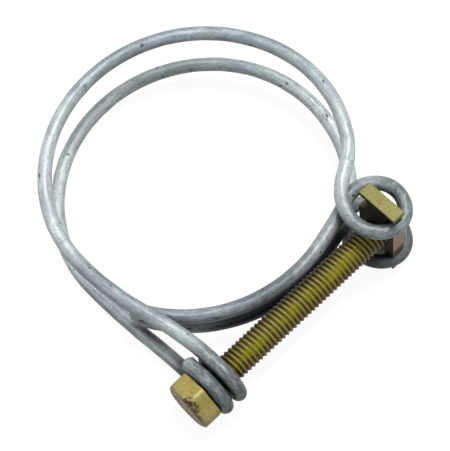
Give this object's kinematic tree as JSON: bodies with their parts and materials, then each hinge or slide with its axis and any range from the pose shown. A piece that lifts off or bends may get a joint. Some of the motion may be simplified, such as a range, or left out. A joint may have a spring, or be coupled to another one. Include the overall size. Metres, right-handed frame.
{
  "type": "wire hose clamp",
  "caption": "Double-wire hose clamp: one bent steel wire round a hose, drawn tight by a hexagon head screw and a notched bar nut.",
  "frame": {"origin": "on the hose axis, midway between the two strands of wire round the hose", "axes": "+Z along the hose axis, +Y from the screw across the hose, +X along the screw from its head to the nut"},
  "size_m": [0.0669, 0.0723, 0.0228],
  "materials": {
    "zinc_wire": "dull mottled zinc coating on round spring wire",
    "yellow_screw": "yellow passivated zinc, dark in the thread valleys",
    "yellow_nut": "pale yellow passivated zinc, darkened in the notches"
  },
  "bodies": {
    "band": {"wire_band": "zinc_wire"},
    "screw": {"hex_bolt": "yellow_screw"},
    "nut": {"bar_nut": "yellow_nut"}
  },
  "joints": [
    {"name": "screw_turn", "type": "hinge", "parent": "band", "child": "screw", "pos_m": [-0.03075, -0.0342, 0], "axis": [1, 0, 0], "range_deg": [0, 2880]},
    {"name": "nut_travel", "type": "slide", "parent": "band", "child": "nut", "axis": [-1, 0, 0], "range_m": [0, 0.0081], "deforming": ["wire_band"]}
  ],
  "couplings": [
    {"joint": "nut_travel", "follows": "screw_turn", "m_per_rad": 0.00015915}
  ]
}
